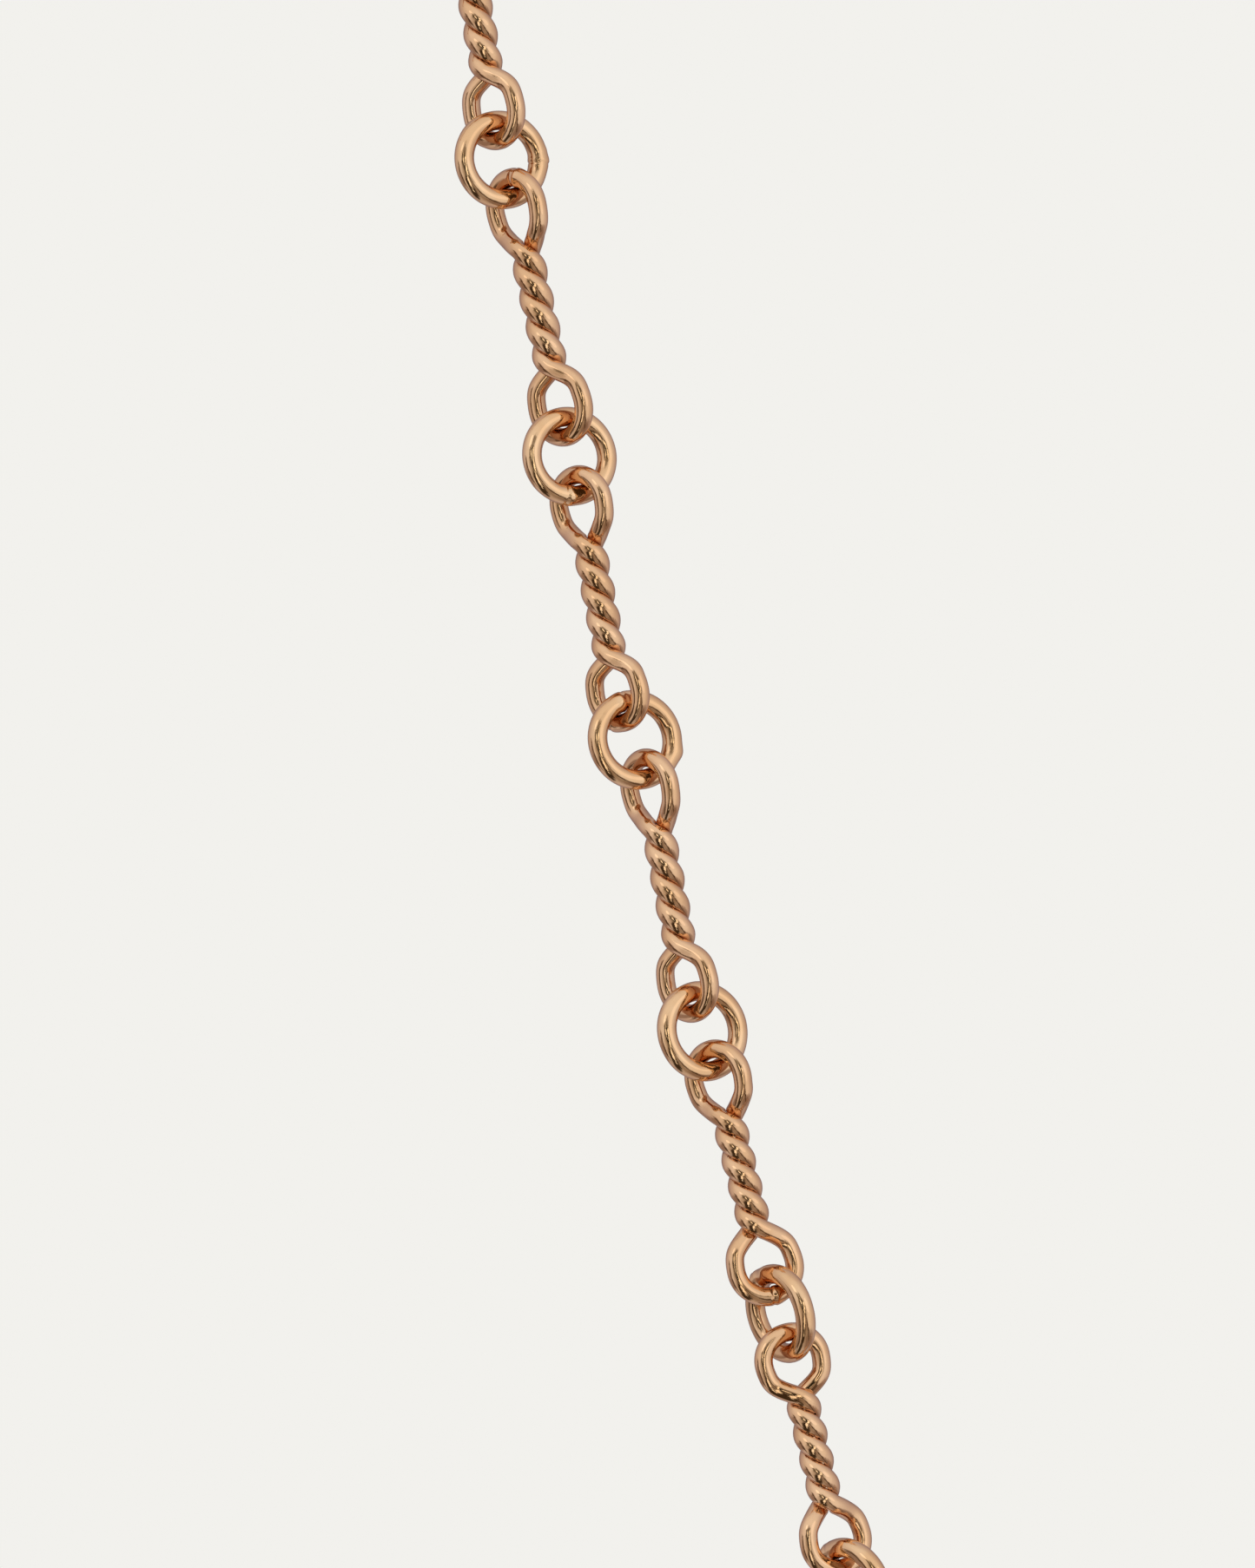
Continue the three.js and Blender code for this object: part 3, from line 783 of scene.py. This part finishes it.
# The tent is laid out as it would show in a mirror ball seen from above: the middle is overhead,
# 0.707 from it is the horizon, and 1 is straight below.
TENT = [
    (0.0, (0.82, 0.82, 0.79)),
    (0.30, (0.85, 0.85, 0.82)),
    (0.50, (0.82, 0.80, 0.78)),
    (0.68, (0.70, 0.67, 0.66)),
    (0.82, (0.58, 0.53, 0.55)),
    (0.92, (0.43, 0.37, 0.39)),
    (0.98, (0.28, 0.22, 0.24)),
]
# Ellipses: centre, half sizes, turn in degrees, softness of the edge, and how much they show;
# then their tone.
SHAPES = [
    ((-0.10, 0.38, 0.45, 0.22, 0, 0.9, 0.6), (0.94, 0.96, 0.93)),
    ((0.36, 0.08, 0.24, 0.30, 0, 0.9, 0.6), (0.94, 0.95, 0.92)),
    ((-0.66, -0.30, 0.13, 0.30, -10, 0.8, 0.85), (0.26, 0.19, 0.165)),
    ((0.34, -0.54, 0.40, 0.19, 14, 0.8, 0.9), (0.22, 0.15, 0.12)),
    ((-0.13, -0.22, 0.27, 0.44, -20, 0.95, 0.75), (0.30, 0.225, 0.15)),
    ((0.08, -0.34, 0.20, 0.20, 0, 0.9, 0.65), (0.24, 0.18, 0.125)),
    ((-0.21, -0.42, 0.15, 0.36, -22, 0.5, 1.0), (0.05, 0.035, 0.02)),
    ((-0.03, 0.05, 0.25, 0.18, -15, 0.5, 0.9), (0.14, 0.115, 0.07)),
    ((-0.04, 0.04, 0.15, 0.11, -15, 0.35, 1.0), (0.02, 0.018, 0.01)),
    ((0.22, -0.32, 0.055, 0.30, 28, 0.7, 0.95), (0.09, 0.06, 0.035)),
    ((-0.56, -0.30, 0.05, 0.34, 17, 0.7, 0.95), (0.09, 0.06, 0.04)),
    ((0.08, 0.03, 0.045, 0.12, -25, 0.35, 1.0), (1.55, 1.50, 1.25)),
    ((-0.10, 0.10, 0.030, 0.10, 30, 0.35, 1.0), (1.25, 1.20, 1.0)),
    ((-0.12, -0.26, 0.032, 0.20, -20, 0.35, 1.0), (1.30, 1.26, 1.08)),
]


RAGGED_SCALE = 9.0  # of the noise that makes the shapes' edges ragged
RAGGED_SHIFT = 0.26  # how far it moves them


def studio_world():
    """A pale tent, darker below, with the camera and whoever holds it as dark shapes overhead."""
    world = bpy.data.worlds.new("studio")
    bpy.context.scene.world = world
    world.use_nodes = True
    t = Tree(world.node_tree)
    way = t.add("ShaderNodeTexCoord").outputs["Generated"]
    axis = t.add("ShaderNodeSeparateXYZ", {0: way}).outputs
    lift = t.math("MAXIMUM", t.math("ADD", axis[2], 1.0), 0.0001)
    spread = t.math("SQRT", t.math("MULTIPLY", lift, 2.0))
    smooth_x, smooth_y = t.math("DIVIDE", axis[0], spread), t.math("DIVIDE", axis[1], spread)
    ball = t.add("ShaderNodeCombineXYZ", {0: smooth_x, 1: smooth_y}).outputs[0]
    ragged = t.add(
        "ShaderNodeTexNoise", {"Vector": ball, "Scale": RAGGED_SCALE, "Detail": 3.0, "Roughness": 0.55}
    ).outputs["Color"]
    shift = t.add("ShaderNodeVectorMath", {0: ragged, 1: (0.5,) * 3}, operation="SUBTRACT")
    moved = t.add(
        "ShaderNodeVectorMath",
        {0: shift.outputs[0], 1: (RAGGED_SHIFT,) * 3, 2: ball},
        operation="MULTIPLY_ADD",
    ).outputs[0]
    place = t.add("ShaderNodeSeparateXYZ", {0: moved}).outputs

    def ellipse(cx, cy, rx, ry, turn, soft, amount):
        c, s = math.cos(math.radians(turn)), math.sin(math.radians(turn))
        dx, dy = t.math("SUBTRACT", place[0], cx), t.math("SUBTRACT", place[1], cy)
        u = t.math("ADD", t.math("MULTIPLY", dx, c / rx), t.math("MULTIPLY", dy, s / rx))
        v = t.math("SUBTRACT", t.math("MULTIPLY", dy, c / ry), t.math("MULTIPLY", dx, s / ry))
        far = t.math("ADD", t.math("MULTIPLY", u, u), t.math("MULTIPLY", v, v))
        return t.scale(far, 1 - soft, 1 + soft, amount, 0)

    out = t.math(
        "SQRT",
        t.math(
            "ADD",
            t.math("MULTIPLY", smooth_x, smooth_x),
            t.math("MULTIPLY", smooth_y, smooth_y),
        ),
    )
    tent = t.add("ShaderNodeValToRGB", {0: out})
    ramp_steps = tent.color_ramp.elements
    while len(ramp_steps) < len(TENT):
        ramp_steps.new(1.0)
    for step, (at, tone) in zip(ramp_steps, TENT):
        step.position = at
        step.color = (*tone, 1)
    colour = tent.outputs["Color"]
    for shape, tone in SHAPES:
        colour = t.mix(ellipse(*shape), colour, tone)
    glow = t.add("ShaderNodeBackground", {"Color": colour, "Strength": 1.0})
    t.links.new(glow.outputs[0], t.add("ShaderNodeOutputWorld").inputs["Surface"])


def soft_light(name, place, size, power, colour):
    data = bpy.data.lights.new(name, "AREA")
    data.shape, data.size, data.energy, data.color = "DISK", size, power, colour
    obj = bpy.data.objects.new(name, data)
    bpy.context.scene.collection.objects.link(obj)
    obj.location = place
    obj.rotation_euler = (-Vector(place)).to_track_quat("-Z", "Y").to_euler()
    obj.visible_camera = False
    return obj


def studio_camera():
    """Straight above, with a long lens, over the ring in the middle of the run."""
    low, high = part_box("ring_06")
    centre = (low + high) / 2
    camera = bpy.data.cameras.new("camera")
    camera.lens = camera.sensor_width * CAMERA_DISTANCE / (VIEW_HEIGHT * MM)
    obj = bpy.data.objects.new("camera", camera)
    across, along = VIEW_SHIFT
    obj.location = (centre.x + across * MM, centre.y + along * MM, centre.z + CAMERA_DISTANCE)
    bpy.context.scene.collection.objects.link(obj)
    bpy.context.scene.camera = obj


sweep_piece()
studio_world()
soft_light("key", (-0.5, 0.45, 0.75), 0.35, 0.12, (1.0, 0.97, 0.92))
soft_light("fill", (0.6, 0.2, 0.6), 0.5, 0.12, (1.0, 0.96, 0.95))
studio_camera()
bpy.context.scene.view_settings.view_transform = "Standard"
